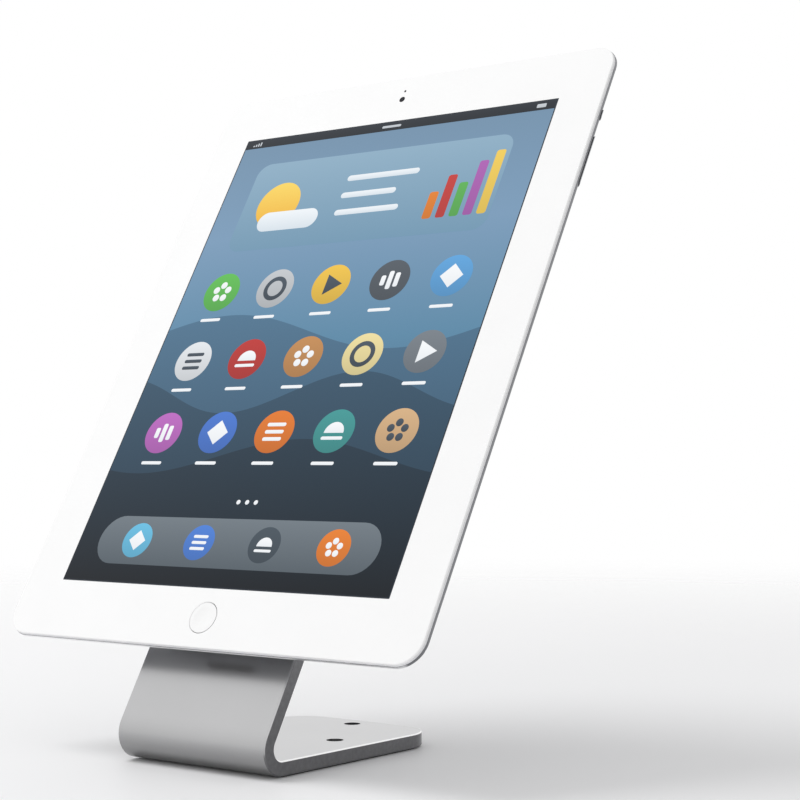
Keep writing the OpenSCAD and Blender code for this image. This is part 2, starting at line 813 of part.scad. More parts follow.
module shield_cans() {
    board_h = cell_top - cell_bottom;
    can_len = (board_h - (can_count + 1) * can_gap) / can_count;
    low = cavity_back + board_t;
    color("lightgray") in_tablet() for (i = [0 : can_count - 1])
        translate([board_x, cell_bottom + can_gap + can_len / 2 + i * (can_len + can_gap), 0])
            slab(board_w - 2 * can_margin, can_len, 1, low, low + can_h);
}

module speaker_module() {
    color("black") in_tablet() translate([speaker_x, speaker_y, 0])
        slab(speaker_w, speaker_h, 2, cavity_back, cavity_back + cell_t);
}

module charging_socket() {
    tongue_t = dock_h * 0.35;
    mouth_depth = dock_depth - 1.5;
    color("gray") in_tablet() translate([0, dock_y, dock_z]) {
        difference() {
            translate([-dock_block_w / 2, 0, -dock_block_h / 2])
                cube([dock_block_w, dock_depth, dock_block_h]);
            translate([-dock_w / 2, -cut, -dock_h / 2]) cube([dock_w, mouth_depth + cut, dock_h]);
        }
        translate([-dock_w / 2 + 1, 1, -tongue_t / 2]) cube([dock_w - 2, dock_depth - 1, tongue_t]);
    }
}

module headphone_socket() {
    color("white") in_tablet() translate([jack_x - tab_w / 2, jack_y, jack_z]) difference() {
        translate([-jack_body_w / 2, 0, -jack_body_t / 2]) cube([jack_body_w, jack_len, jack_body_t]);
        translate([0, -cut, 0]) rotate([-90, 0, 0]) cylinder(d = jack_d, h = jack_len + 2 * cut);
    }
}

module front_camera() {
    color("black") in_tablet() translate([0, front_camera_y, 0])
        ring(front_camera_d / 2, 0, front_bay_back, -glass_t);
}

module light_sensor() {
    color("darkslategray") in_tablet() translate([0, sensor_y, 0])
        block(sensor_size, sensor_size, front_bay_back, -glass_t);
}

module rear_camera() {
    color("black") in_tablet() translate([rear_camera_x, rear_camera_y, 0]) {
        block(rear_camera_side, rear_camera_side, cavity_back, -4);
        ring(lens_d / 2, 0, window_t - tab_t + 0.1, cavity_back);
    }
}

module rear_camera_window() {
    color("darkslategray") in_tablet() translate([rear_camera_x, rear_camera_y, 0])
        ring(lens_d / 2, 0, 0.1 - tab_t, window_t - tab_t + 0.1);
}

module home_switch() {
    dome_front = home_plate_back + home_plate_t + home_dome_t;
    color("goldenrod") in_tablet() translate([0, home_y, 0]) {
        block(2 * home_flange_r, home_d * 0.8, home_plate_back, home_plate_back + home_plate_t);
        ring(home_d / 4, 0, home_plate_back + home_plate_t, dome_front);
    }
}

module edge_key_switches() {
    color("goldenrod") in_tablet() {
        on_top(sleep_x) key_switch(sleep_len, 0);
        on_right(rocker_y) key_switch(rocker_len, 0);
        on_right(switch_y + switch_travel / 2) key_switch(switch_len, switch_travel);
    }
}

module lock_plug() {
    drive_back = cam_back - pass_gap;
    color("lightgray") at_hub() {
        difference() {
            ring(plug_d / 2, 0, lock_face, drive_back);
            ring(key_ring_r + key_ring_w / 2, key_ring_r - key_ring_w / 2,
                lock_face - cut, lock_face + key_ring_depth);
            translate([-key_ring_w / 2, key_ring_r, lock_face - cut])
                cube([key_ring_w, key_ring_r * 0.6, key_ring_depth + cut]);
        }
        difference() {
            block(drive_side, drive_side, drive_back, cam_front);
            ring(cam_screw_d / 2 + fit_gap, 0, cam_back, cam_front + cut);
        }
    }
}

module lock_cam() {
    color("slategray") at_hub() translate([0, 0, cam_back]) linear_extrude(cam_t) difference() {
        union() {
            circle(drive_side * 0.5 * sqrt(2) + 3);
            translate([-cam_w / 2, 0]) square([cam_w, cam_reach - cam_w / 2]);
            translate([0, cam_reach - cam_w / 2]) circle(cam_w / 2);
        }
        square(drive_side + 2 * fit_gap, center = true);
    }
}

module cam_screw() {
    color("dimgray") at_hub() {
        ring(cam_screw_d / 2, 0, cam_back + fit_gap, cam_front);
        ring(drive_side * 0.75, 0, cam_front, cam_front + cam_screw_head);
    }
}

module home_button() {
    dish_r = 24;
    dish_depth = 0.35;
    color("white") in_tablet() translate([0, home_y, 0]) difference() {
        union() {
            ring(home_d / 2, 0, -home_depth, 0);
            ring(home_flange_r, 0, -home_depth, home_flange_t - home_depth);
        }
        translate([0, 0, dish_r - dish_depth]) sphere(dish_r);
    }
}

module sleep_button() {
    color("silver") in_tablet() {
        intersection() {
            back_form(key_proud);
            on_top(sleep_x) key_stem(sleep_len);
        }
        on_top(sleep_x) key_flange(sleep_len);
    }
}

module volume_rocker() {
    color("silver") in_tablet() {
        intersection() {
            back_form(key_proud);
            on_right(rocker_y) key_stem(rocker_len);
        }
        on_right(rocker_y) {
            key_flange(rocker_len);
            translate([-key_flange_back, 0, -key_t / 2]) cylinder(r = fulcrum_r, h = key_t);
        }
    }
}

module side_switch() {
    color("silver") in_tablet() {
        intersection() {
            back_form(key_proud);
            on_right(switch_y) key_stem(switch_len);
        }
        on_right(switch_y) key_flange(switch_len);
    }
}

stand_plate();
foot_mat();
spindle_bush();
lock_cap();
lock_barrel();
lock_nut();
keeper_bracket();
keeper_screws();
cap_dowels();
swivel_disc();
spindle();
spindle_screws();
stop_pin();
thrust_washer();
disc_spring();
retaining_ring();
adhesive_pad();
tablet_shell();
cover_glass();
glass_gasket();
display_module();
battery_cells();
logic_board();
shield_cans();
speaker_module();
charging_socket();
headphone_socket();
front_camera();
light_sensor();
rear_camera();
rear_camera_window();
home_switch();
edge_key_switches();
lock_plug();
lock_cam();
cam_screw();
home_button();
sleep_button();
volume_rocker();
side_switch();
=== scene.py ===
"""Looks of a tablet kiosk stand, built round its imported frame: metres, +Z up, the screen faces -Y."""
import json
import math

import bmesh
import bpy
from mathutils import Matrix, Vector


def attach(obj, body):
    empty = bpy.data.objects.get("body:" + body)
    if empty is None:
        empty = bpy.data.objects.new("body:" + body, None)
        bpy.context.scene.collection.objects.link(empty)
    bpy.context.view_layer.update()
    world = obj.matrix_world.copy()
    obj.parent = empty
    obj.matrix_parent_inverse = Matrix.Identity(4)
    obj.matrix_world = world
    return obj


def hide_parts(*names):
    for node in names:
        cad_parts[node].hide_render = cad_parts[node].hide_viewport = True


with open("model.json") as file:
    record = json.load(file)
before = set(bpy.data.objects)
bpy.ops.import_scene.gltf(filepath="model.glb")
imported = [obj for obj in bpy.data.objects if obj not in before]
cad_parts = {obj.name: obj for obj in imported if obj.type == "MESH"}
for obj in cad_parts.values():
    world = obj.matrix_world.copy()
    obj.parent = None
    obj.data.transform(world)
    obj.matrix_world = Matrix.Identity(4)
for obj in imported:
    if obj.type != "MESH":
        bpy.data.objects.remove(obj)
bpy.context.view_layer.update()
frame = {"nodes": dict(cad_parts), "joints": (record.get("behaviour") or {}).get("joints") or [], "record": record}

MM = 0.001
NODES = frame["nodes"]

# Places closer than this, in millimetres, count as one
SAME_PLACE = 0.001

# The tablet's own directions, from the joint that it turns on
SWIVEL = next(j for j in frame["joints"] if j["name"] == "tablet_turn")
HUB = Vector(SWIVEL["pos_m"])
FRONT = -Vector(SWIVEL["axis"]).normalized()
RIGHT = Vector((1, 0, 0))
UP = FRONT.cross(RIGHT)

# The photograph's camera
CAMERA_AT = Vector((0.42523, -0.50237, 0.10504))
CAMERA_AZIMUTH = math.radians(37.537)
CAMERA_ELEVATION = math.radians(-1.592)
CAMERA_ROLL = math.radians(0.118)
PHOTO_SIDE = 800
FOCAL_PIXELS = 1838.49
SENSOR_WIDTH = 36


def span(node, direction):
    """Least and greatest distance of a node from the hub along a direction, in millimetres."""
    steps = [(v.co - HUB).dot(direction) / MM for v in NODES[node].data.vertices]
    return min(steps), max(steps)


def middle(node):
    """A node's middle in the tablet's frame, right and up, in millimetres."""
    return tuple(sum(span(node, direction)) / 2 for direction in (RIGHT, UP))


def extent(node, direction):
    """A node's size along a direction, in millimetres."""
    low, high = span(node, direction)
    return high - low


def corner_radius(node):
    """Radius of a slab's corners, from the straight part of its top edge, in millimetres."""
    top = span(node, UP)[1] - SAME_PLACE
    places = [(v.co - HUB) / MM for v in NODES[node].data.vertices]
    straight = max(place.dot(RIGHT) for place in places if place.dot(UP) > top)
    return extent(node, RIGHT) / 2 - straight


# Frame at the front of the glass, on the swivel axis: x to the right, y up the slope, z to the viewer
GLASS_BACK, GLASS_FRONT = span("cover_glass", FRONT)
TABLET = Matrix((RIGHT, UP, FRONT)).transposed().to_4x4()
TABLET.translation = HUB + GLASS_FRONT * MM * FRONT

# Sizes in millimetres; the display module has a border round the picture, which is made of thin layers
GLASS_T = GLASS_FRONT - GLASS_BACK
GLASS_W = extent("cover_glass", RIGHT)
GLASS_H = extent("cover_glass", UP)
GLASS_CORNER = corner_radius("cover_glass")
DISPLAY_BORDER = 3
SCREEN_W = extent("display_module", RIGHT) - 2 * DISPLAY_BORDER
SCREEN_H = extent("display_module", UP) - 2 * DISPLAY_BORDER
HOME_X, HOME_Y = middle("home_button")
HOME_HOLE_R = 5.7
LAYER_T = 0.015


# Shader helpers


def srgb(red, green, blue):
    """Screen colour, 0 to 255, as the linear colour that a shader takes."""
    values = []
    for part in (red, green, blue):
        share = part / 255
        values.append(share / 12.92 if share <= 0.04045 else ((share + 0.055) / 1.055) ** 2.4)
    return (*values, 1)


def tint(colour, factor):
    """A linear colour made lighter or darker."""
    return (*(min(1, part * factor) for part in colour[:3]), 1)


def new_material(name):
    """A new node material, with its tree and its shader."""
    material = bpy.data.materials.new(name)
    material.use_nodes = True
    tree = material.node_tree
    return material, tree, tree.nodes["Principled BSDF"]


def connect(tree, source, socket):
    """Link an output to a socket, or set the socket to a plain value."""
    if isinstance(source, bpy.types.NodeSocket):
        tree.links.new(source, socket)
    else:
        socket.default_value = source


def calculate(tree, operation, first, second=0.0):
    """One step of arithmetic on outputs or plain values."""
    node = tree.nodes.new("ShaderNodeMath")
    node.operation = operation
    connect(tree, first, node.inputs[0])
    connect(tree, second, node.inputs[1])
    return node.outputs[0]


def dot(tree, vector, direction):
    """How far a vector reaches along a direction."""
    node = tree.nodes.new("ShaderNodeVectorMath")
    node.operation = "DOT_PRODUCT"
    tree.links.new(vector, node.inputs[0])
    node.inputs[1].default_value = direction
    return node.outputs["Value"]


def remap(tree, value, from_low, from_high, to_low, to_high):
    """A value's range, moved smoothly onto another range."""
    node = tree.nodes.new("ShaderNodeMapRange")
    node.interpolation_type = "SMOOTHSTEP"
    tree.links.new(value, node.inputs["Value"])
    node.inputs["From Min"].default_value = from_low
    node.inputs["From Max"].default_value = from_high
    node.inputs["To Min"].default_value = to_low
    node.inputs["To Max"].default_value = to_high
    return node.outputs["Result"]


def ramp(tree, value, stops):
    """Colours along a value: stops are (place, colour)."""
    node = tree.nodes.new("ShaderNodeValToRGB")
    tree.links.new(value, node.inputs["Fac"])
    elements = node.color_ramp.elements
    for place, _ in stops[1:-1]:
        elements.new(place)
    for element, (place, colour) in zip(elements, stops):
        element.position = place
        element.color = colour
    return node.outputs["Color"]


def mix(tree, factor, first, second):
    """Blend of two colours."""
    node = tree.nodes.new("ShaderNodeMix")
    node.data_type = "RGBA"
    tree.links.new(factor, node.inputs["Factor"])
    connect(tree, first, node.inputs["A"])
    connect(tree, second, node.inputs["B"])
    return node.outputs["Result"]


def noise(tree, scale, stretch=(1, 1, 1)):
    """Cloudy value from 0 to 1; the scale is in features per metre."""
    coordinates = tree.nodes.new("ShaderNodeTexCoord")
    mapping = tree.nodes.new("ShaderNodeMapping")
    texture = tree.nodes.new("ShaderNodeTexNoise")
    mapping.inputs["Scale"].default_value = stretch
    texture.inputs["Scale"].default_value = scale
    texture.inputs["Detail"].default_value = 3
    tree.links.new(coordinates.outputs["Object"], mapping.inputs["Vector"])
    tree.links.new(mapping.outputs["Vector"], texture.inputs["Vector"])
    return texture.outputs["Fac"]


def rings(tree):
    """Fine rings round the swivel axis, as a lathe leaves them, 5 to the millimetre."""
    rings_per_metre = 5000
    place = tree.nodes.new("ShaderNodeTexCoord").outputs["Object"]
    offset = tree.nodes.new("ShaderNodeVectorMath")
    offset.operation = "SUBTRACT"
    tree.links.new(place, offset.inputs[0])
    offset.inputs[1].default_value = HUB
    along = tree.nodes.new("ShaderNodeVectorMath")
    along.operation = "PROJECT"
    tree.links.new(offset.outputs["Vector"], along.inputs[0])
    along.inputs[1].default_value = FRONT
    spread = tree.nodes.new("ShaderNodeVectorMath")
    spread.operation = "DISTANCE"
    tree.links.new(offset.outputs["Vector"], spread.inputs[0])
    tree.links.new(along.outputs["Vector"], spread.inputs[1])
    cut = tree.nodes.new("ShaderNodeCombineXYZ")
    tree.links.new(spread.outputs["Value"], cut.inputs["X"])
    tree.links.new(dot(tree, offset.outputs["Vector"], FRONT), cut.inputs["Y"])
    texture = tree.nodes.new("ShaderNodeTexNoise")
    texture.inputs["Scale"].default_value = rings_per_metre
    tree.links.new(cut.outputs["Vector"], texture.inputs["Vector"])
    return texture.outputs["Fac"]


def mottle(tree, scale, colour, vary):
    """A colour that drifts between a darker and a lighter tone."""
    return ramp(tree, noise(tree, scale), [(0.3, tint(colour, 1 - vary)), (0.7, tint(colour, 1 + vary))])


def surface(name, colour, roughness, vary=0.05, grain=2500, stretch=(1, 1, 1), relief=0.01, spread=0.2,
            blotch=40, turned=False, **constants):
    """Material with slight clouds in its colour, and a fine grain in its roughness and relief (mm)."""
    material, tree, shader = new_material(name)
    for socket, value in constants.items():
        shader.inputs[socket.replace("_", " ")].default_value = value
    tree.links.new(mottle(tree, blotch, colour, vary), shader.inputs["Base Color"])
    fine = rings(tree) if turned else noise(tree, grain, stretch)
    rough = remap(tree, fine, 0.3, 0.7, roughness * (1 - spread), roughness * (1 + spread))
    tree.links.new(rough, shader.inputs["Roughness"])
    bump = tree.nodes.new("ShaderNodeBump")
    bump.inputs["Strength"].default_value = 0.5
    bump.inputs["Distance"].default_value = relief * MM
    tree.links.new(fine, bump.inputs["Height"])
    tree.links.new(bump.outputs["Normal"], shader.inputs["Normal"])
    return material


def plate_surface():
    """Satin aluminium of the bent plate, with painted shade darkening its cut edges, the chamfers that face down
    and the front of the bend, and painted highlights on the chamfers of the foot.
    """
    face = srgb(194, 194, 195)
    # Painted shade: dark tone for the cut edges and the chamfers that face down
    painted_edge_shade = srgb(114, 114, 116)
    # Painted highlight: near-white tone for the chamfers that face up
    chamfer_highlight = srgb(244, 244, 244)
    # Painted shade: the front of the bend, between bend_low and bend_high above the ground, at half the face's
    # tone
    bend_shade = tint(face, 0.5)
    bend_low = 1 * MM
    bend_high = 17 * MM
    foot_top = 8 * MM
    end_reach = 20 * MM
    material = surface("plate_aluminium", face, 0.28, vary=0.015, grain=900, stretch=(4, 0.15, 0.15),
                       relief=0.0002, spread=0.02, Metallic=1)
    tree = material.node_tree
    shader = tree.nodes["Principled BSDF"]
    foot_end = max(v.co.y for v in NODES["stand_plate"].data.vertices if v.co.z < foot_top)
    geometry = tree.nodes.new("ShaderNodeNewGeometry")
    normal = geometry.outputs["Normal"]
    place = tree.nodes.new("ShaderNodeTexCoord").outputs["Object"]

    # How far a face turns from the flat sides: to the right or left, at the foot's end and at the head
    at_end = calculate(tree, "GREATER_THAN", dot(tree, place, (0, 1, 0)), foot_end - end_reach)
    low = calculate(tree, "LESS_THAN", dot(tree, place, (0, 0, 1)), foot_top)
    at_top = calculate(tree, "GREATER_THAN", dot(tree, place, UP), HUB.dot(UP))
    on_end = calculate(tree, "MULTIPLY", at_end, low)
    end_part = calculate(tree, "MULTIPLY", dot(tree, normal, (0, 1, 0)), on_end)
    top_part = calculate(tree, "MULTIPLY", dot(tree, normal, UP), at_top)
    sideways = tree.nodes.new("ShaderNodeCombineXYZ")
    tree.links.new(dot(tree, normal, RIGHT), sideways.inputs["X"])
    tree.links.new(end_part, sideways.inputs["Y"])
    tree.links.new(top_part, sideways.inputs["Z"])
    length = tree.nodes.new("ShaderNodeVectorMath")
    length.operation = "LENGTH"
    tree.links.new(sideways.outputs["Vector"], length.inputs[0])
    slant = length.outputs["Value"]

    # Painted highlight on chamfers that face up; painted shade on chamfers that face down, on cut edges and on the
    # front of the bend
    rise = dot(tree, normal, (0, 0, 1))
    off_face = remap(tree, slant, 0.55, 0.65, 0, 1)
    up_chamfer_highlight = calculate(tree, "MULTIPLY", off_face, remap(tree, rise, 0.45, 0.6, 0, 1))
    down_chamfer_shade = calculate(tree, "MULTIPLY", off_face, remap(tree, rise, 0, -0.2, 0, 1))
    edge_shade_mask = calculate(tree, "MAXIMUM", remap(tree, slant, 0.8, 0.95, 0, 1), down_chamfer_shade)
    in_front = calculate(tree, "LESS_THAN", dot(tree, normal, (0, 1, 0)), -0.1)
    near_ground = remap(tree, dot(tree, place, (0, 0, 1)), bend_high, bend_low, 0, 1)
    bend_shade_mask = calculate(tree, "MULTIPLY", near_ground, in_front)

    clouds = shader.inputs["Base Color"].links[0].from_socket
    edge_shade_tone = mottle(tree, 700, painted_edge_shade, 0.1)
    faces = mix(tree, bend_shade_mask, clouds, bend_shade)
    upper = mix(tree, up_chamfer_highlight, faces, chamfer_highlight)
    tree.links.new(mix(tree, edge_shade_mask, upper, edge_shade_tone), shader.inputs["Base Color"])
    return material


def shell_surface():
    """Blasted aluminium of the tablet's shell: silver back, with painted shade darkening its edge and painted
    highlights brightening its end walls.
    """
    back = srgb(196, 197, 199)
    # Painted highlight: near-white tone of the end walls at the tablet's head and foot
    end_wall_highlight = srgb(240, 240, 241)
    # Painted shade: darker tone of the sides and rounded edge, which is also the material's base colour
    painted_edge_shade = srgb(134, 135, 138)
    material = surface("tablet_aluminium", painted_edge_shade, 0.36, vary=0.02, grain=6000, relief=0.006, Metallic=1)
    tree = material.node_tree
    shader = tree.nodes["Principled BSDF"]
    normal = tree.nodes.new("ShaderNodeTexCoord").outputs["Normal"]
    end_highlight_mask = remap(tree, calculate(tree, "ABSOLUTE", dot(tree, normal, UP)), 0.85, 0.95, 0, 1)
    is_back = remap(tree, dot(tree, normal, FRONT), -0.8, -0.98, 0, 1)
    clouds = shader.inputs["Base Color"].links[0].from_socket
    sides = mix(tree, end_highlight_mask, clouds, end_wall_highlight)
    tree.links.new(mix(tree, is_back, sides, mottle(tree, 30, back, 0.03)), shader.inputs["Base Color"])
    return material


def lit(name, *colours):
    """Part of the lit picture, shaded from its foot to its head, under faintly smeared glass."""
    gloss = 0.08
    material, tree, shader = new_material(name)
    shape = tree.nodes.new("ShaderNodeUVMap")
    split = tree.nodes.new("ShaderNodeSeparateXYZ")
    tree.links.new(shape.outputs["UV"], split.inputs["Vector"])
    places = [i / (len(colours) - 1) for i in range(len(colours))]
    shade = ramp(tree, split.outputs["Y"], list(zip(places, colours)))
    tree.links.new(shade, shader.inputs["Emission Color"])
    shader.inputs["Emission Strength"].default_value = 1
    shader.inputs["Base Color"].default_value = (0.004, 0.004, 0.005, 1)
    smears = remap(tree, noise(tree, 25), 0.3, 0.7, gloss * 0.8, gloss * 1.2)
    tree.links.new(smears, shader.inputs["Roughness"])
    shader.inputs["Specular IOR Level"].default_value = 0.2
    return material


# Outlines in millimetres: each is a function of how far the shape is drawn in


def round_box(width, height, corner, x=0.0, y=0.0, steps=8):
    """Box with round corners."""
    def outline(inset):
        radius = max(corner - inset, 0.01)
        points = []
        for quarter, (right, up) in enumerate(((1, 1), (-1, 1), (-1, -1), (1, -1))):
            centre_x = x + right * (width / 2 - inset - radius)
            centre_y = y + up * (height / 2 - inset - radius)
            for step in range(steps + 1):
                angle = math.pi / 2 * (quarter + step / steps)
                points.append((centre_x + radius * math.cos(angle), centre_y + radius * math.sin(angle)))
        return points
    return outline


def regular(radius, x=0.0, y=0.0, sides=48):
    """Disc, or a polygon with few sides."""
    def outline(inset):
        angles = [2 * math.pi * side / sides for side in range(sides)]
        return [(x + (radius - inset) * math.cos(a), y + (radius - inset) * math.sin(a)) for a in angles]
    return outline


def hole(radius, x=0.0, y=0.0):
    """Round hole, which grows as the shape round it is drawn in."""
    disc = regular(radius, x, y)
    return lambda inset: disc(-inset)


def polygon(points):
    """Fixed points, which are never drawn in."""
    return lambda inset: points


# Solids; edges that turn by more than this stay sharp
SHARP_ANGLE = math.radians(12)


def add_solid(mesh, outlines, levels, slot=0):
    """Add a closed solid through the levels, each (height, inset).

    The first outline is its edge, and the rest are holes.
    """
    stacks = []
    for outline in outlines:
        stacks.append([[mesh.verts.new((x * MM, y * MM, z * MM)) for x, y in outline(inset)]
                       for z, inset in levels])
    faces = []
    for stack in stacks:
        for low, high in zip(stack, stack[1:]):
            for i in range(len(low)):
                faces.append(mesh.faces.new((low[i - 1], low[i], high[i], high[i - 1])))
    for end in (0, -1):
        rims = [stack[end] for stack in stacks]
        if len(rims) == 1:
            faces.append(mesh.faces.new(rims[0]))
            continue
        edges = [mesh.edges.get((rim[i - 1], rim[i])) for rim in rims for i in range(len(rim))]
        filled = bmesh.ops.triangle_fill(mesh, edges=edges, use_beauty=True)["geom"]
        faces += [item for item in filled if isinstance(item, bmesh.types.BMFace)]
    bmesh.ops.recalc_face_normals(mesh, faces=faces)
    shade = mesh.loops.layers.uv.verify()
    heights = [vert.co.y for vert in stacks[0][0]]
    widths = [vert.co.x for vert in stacks[0][0]]
    for face in faces:
        face.material_index = slot
        face.smooth = True
        for corner in face.loops:
            across = (corner.vert.co.x - min(widths)) / (max(widths) - min(widths))
            along = (corner.vert.co.y - min(heights)) / (max(heights) - min(heights))
            corner[shade].uv = (across, along)


def tablet_piece(name, mesh, materials):
    """Turn a finished mesh into a piece that rides on the tablet."""
    data = bpy.data.meshes.new(name)
    mesh.to_mesh(data)
    mesh.free()
    for material in materials:
        data.materials.append(material)
    data.set_sharp_from_angle(angle=SHARP_ANGLE)
    made = bpy.data.objects.new(name, data)
    bpy.context.scene.collection.objects.link(made)
    made.matrix_world = TABLET
    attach(made, "tablet")
    return made


def layer(number):
    """Levels of one layer of the picture, which lies on the glass."""
    return [((number - 1) * LAYER_T, 0), (number * LAYER_T, 0)]


# Finishes of the CAD nodes, by the record's slots
FINISHES = {
    "stand_aluminium": plate_surface(),
    "mat_rubber": surface("mat_rubber", srgb(38, 38, 40), 0.75, vary=0.12, grain=1800, relief=0.05),
    "nylon": surface("nylon", srgb(226, 221, 206), 0.45, vary=0.03, relief=0.01),
    "plated_steel": surface("plated_steel", srgb(176, 178, 182), 0.3, vary=0.05, grain=1500, Metallic=1),
    "black_steel": surface("black_steel", srgb(52, 52, 55), 0.38, vary=0.15, grain=1500, Metallic=1),
    "lock_chrome": surface("lock_chrome", srgb(222, 222, 226), 0.09, vary=0.02, relief=0.0008,
                           turned=True, Metallic=1),
    "foam_tape": surface("foam_tape", srgb(214, 214, 210), 0.85, vary=0.08, grain=1200, relief=0.06),
    "tablet_aluminium": shell_surface(),
    "white_glass": surface("white_glass", srgb(248, 248, 248), 0.05, vary=0.008, grain=25, spread=0.4,
                           relief=0, Specular_IOR_Level=0.5),
    "rim_gasket": surface("rim_gasket", srgb(236, 236, 238), 0.5, vary=0.04),
    "display_panel": surface("display_panel", srgb(18, 22, 27), 0.2, vary=0.1),
    "battery_pouch": surface("battery_pouch", srgb(60, 62, 66), 0.35, vary=0.1, grain=300, relief=0.08),
    "circuit_board": surface("circuit_board", srgb(22, 92, 66), 0.35, vary=0.2, blotch=200),
    "shield_steel": surface("shield_steel", srgb(190, 190, 190), 0.3, Metallic=1),
    "black_plastic": surface("black_plastic", srgb(30, 30, 33), 0.4, vary=0.12),
    "socket_steel": surface("socket_steel", srgb(206, 206, 208), 0.3, Metallic=1),
    "white_plastic": surface("white_plastic", srgb(246, 246, 246), 0.12, vary=0.01, relief=0.002),
    "lens_glass": surface("lens_glass", srgb(16, 18, 26), 0.04, vary=0.2, relief=0, Coat_Weight=1.0),
    "switch_film": surface("switch_film", srgb(196, 156, 70), 0.5, vary=0.1),
}

# Nodes whose look differs from that of their slot
KEY_FINISH = surface("key_aluminium", srgb(182, 183, 186), 0.34, vary=0.02, grain=6000, relief=0.006,
                     Metallic=1)
NODE_FINISHES = {
    "sleep_button": KEY_FINISH,
    "volume_rocker": KEY_FINISH,
    "side_switch": KEY_FINISH,
    "lock_cap": surface("cap_aluminium", srgb(190, 190, 192), 0.27, vary=0.015, relief=0.0006,
                        turned=True, Metallic=1),
    "swivel_disc": surface("disc_steel", srgb(166, 168, 172), 0.3, vary=0.04, relief=0.0006, turned=True,
                           Metallic=1),
}
for part in frame["record"]["subparts"]:
    finish = NODE_FINISHES.get(part["node"], FINISHES[part["material_slot"]])
    for slot in NODES[part["node"]].material_slots:
        slot.material = finish

# Cover glass with a fine bevel behind, a rounded front edge and the hole for the home button
GLASS_BEVEL = 0.1
GLASS_ROUND = [(-0.3, 0), (-0.14, 0.05), (-0.04, 0.15), (0, 0.3)]
glass = bmesh.new()
add_solid(glass, [round_box(GLASS_W, GLASS_H, GLASS_CORNER, steps=24), hole(HOME_HOLE_R, HOME_X, HOME_Y)],
          [(-GLASS_T, GLASS_BEVEL), (GLASS_BEVEL - GLASS_T, 0), *GLASS_ROUND])
glass_sheet = tablet_piece("glass_sheet", glass, [FINISHES["white_glass"]])
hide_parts("cover_glass")

# Layers of the picture, counted from the glass
EDGE_LAYER = 1
SKY_LAYER = 2
HILL_LAYER = 3
STRIP_LAYER = 3

# Dark line round the lit screen, and the picture's ground
EDGE_LINE = 0.5
EDGE_CORNER = 0.3
SCREEN_CORNER = 0.05
surround = bmesh.new()
add_solid(surround, [round_box(SCREEN_W + 2 * EDGE_LINE, SCREEN_H + 2 * EDGE_LINE, EDGE_CORNER)],
          layer(EDGE_LAYER))
EDGE_TONE = lit("edge_line", srgb(38, 44, 52), srgb(44, 50, 58))
tablet_piece("screen_surround", surround, [EDGE_TONE])

SKY = [srgb(40, 62, 80), srgb(60, 92, 116), srgb(88, 134, 164), srgb(120, 153, 183), srgb(112, 142, 168)]
ground = bmesh.new()
add_solid(ground, [round_box(SCREEN_W, SCREEN_H, SCREEN_CORNER)], layer(SKY_LAYER))
tablet_piece("screen_ground", ground, [lit("picture_sky", *SKY)])

# Long low hills across the lower half of the picture, each darker than the one behind it:
# level, swing, number of waves, start of the wave, and the tones at the foot and the top
HILLS = [
    (4, 9, 0.9, 0.4, srgb(30, 54, 74), srgb(76, 114, 142)),
    (-22, 8, 1.3, 2.2, srgb(20, 38, 52), srgb(52, 82, 104)),
    (-48, 7, 1.0, 4.1, srgb(6, 16, 24), srgb(32, 54, 70)),
]


def hill(level, swing, waves, start):
    """Outline of a hill, from the foot of the screen up to a wavy line."""
    points = [(-SCREEN_W / 2, -SCREEN_H / 2), (SCREEN_W / 2, -SCREEN_H / 2)]
    steps = 60
    for step in range(steps + 1):
        share = 1 - step / steps
        height = level + swing * math.sin(start + 2 * math.pi * waves * share)
        points.append(((share - 0.5) * SCREEN_W, height))
    return polygon(points)


hills = bmesh.new()
for number, (level, swing, waves, start, low, high) in enumerate(HILLS):
    add_solid(hills, [hill(level, swing, waves, start)], layer(HILL_LAYER + number), number)
HILL_TONES = [lit(f"hill_{i}", low, high) for i, (*_, low, high) in enumerate(HILLS)]
tablet_piece("screen_hills", hills, HILL_TONES)
FRONT_LAYER = HILL_LAYER + len(HILLS)

# Strip along the head of the screen, with plain marks: width, height and corner
STRIP_H = 4
STRIP_Y = SCREEN_H / 2 - STRIP_H / 2
MIDDLE_MARK = (9, 1.1, 0.5)
RIGHT_MARK = (4, 1.7, 0.4)
RIGHT_MARK_X = SCREEN_W / 2 - 6
SIGNAL_BARS = 4
SIGNAL_W = 0.7
SIGNAL_CORNER = 0.1
SIGNAL_STEP = 1.2
SIGNAL_LEFT = -SCREEN_W / 2 + 4
SIGNAL_FOOT = STRIP_Y - 1
strip = bmesh.new()
add_solid(strip, [round_box(SCREEN_W, STRIP_H, SCREEN_CORNER, 0, STRIP_Y)], layer(STRIP_LAYER))
for number in range(SIGNAL_BARS):
    height = 0.7 + 0.4 * number
    signal_x = SIGNAL_LEFT + SIGNAL_STEP * number
    signal = round_box(SIGNAL_W, height, SIGNAL_CORNER, signal_x, SIGNAL_FOOT + height / 2)
    add_solid(strip, [signal], layer(STRIP_LAYER + 1), 1)
add_solid(strip, [round_box(*MIDDLE_MARK, 0, STRIP_Y)], layer(STRIP_LAYER + 1), 1)
add_solid(strip, [round_box(*RIGHT_MARK, RIGHT_MARK_X, STRIP_Y)], layer(STRIP_LAYER + 1), 1)
STRIP_TONES = [
    lit("strip_dark", srgb(30, 36, 42), srgb(40, 46, 54)),
    lit("strip_marks", srgb(186, 192, 198), srgb(200, 206, 212)),
]
tablet_piece("screen_strip", strip, STRIP_TONES)

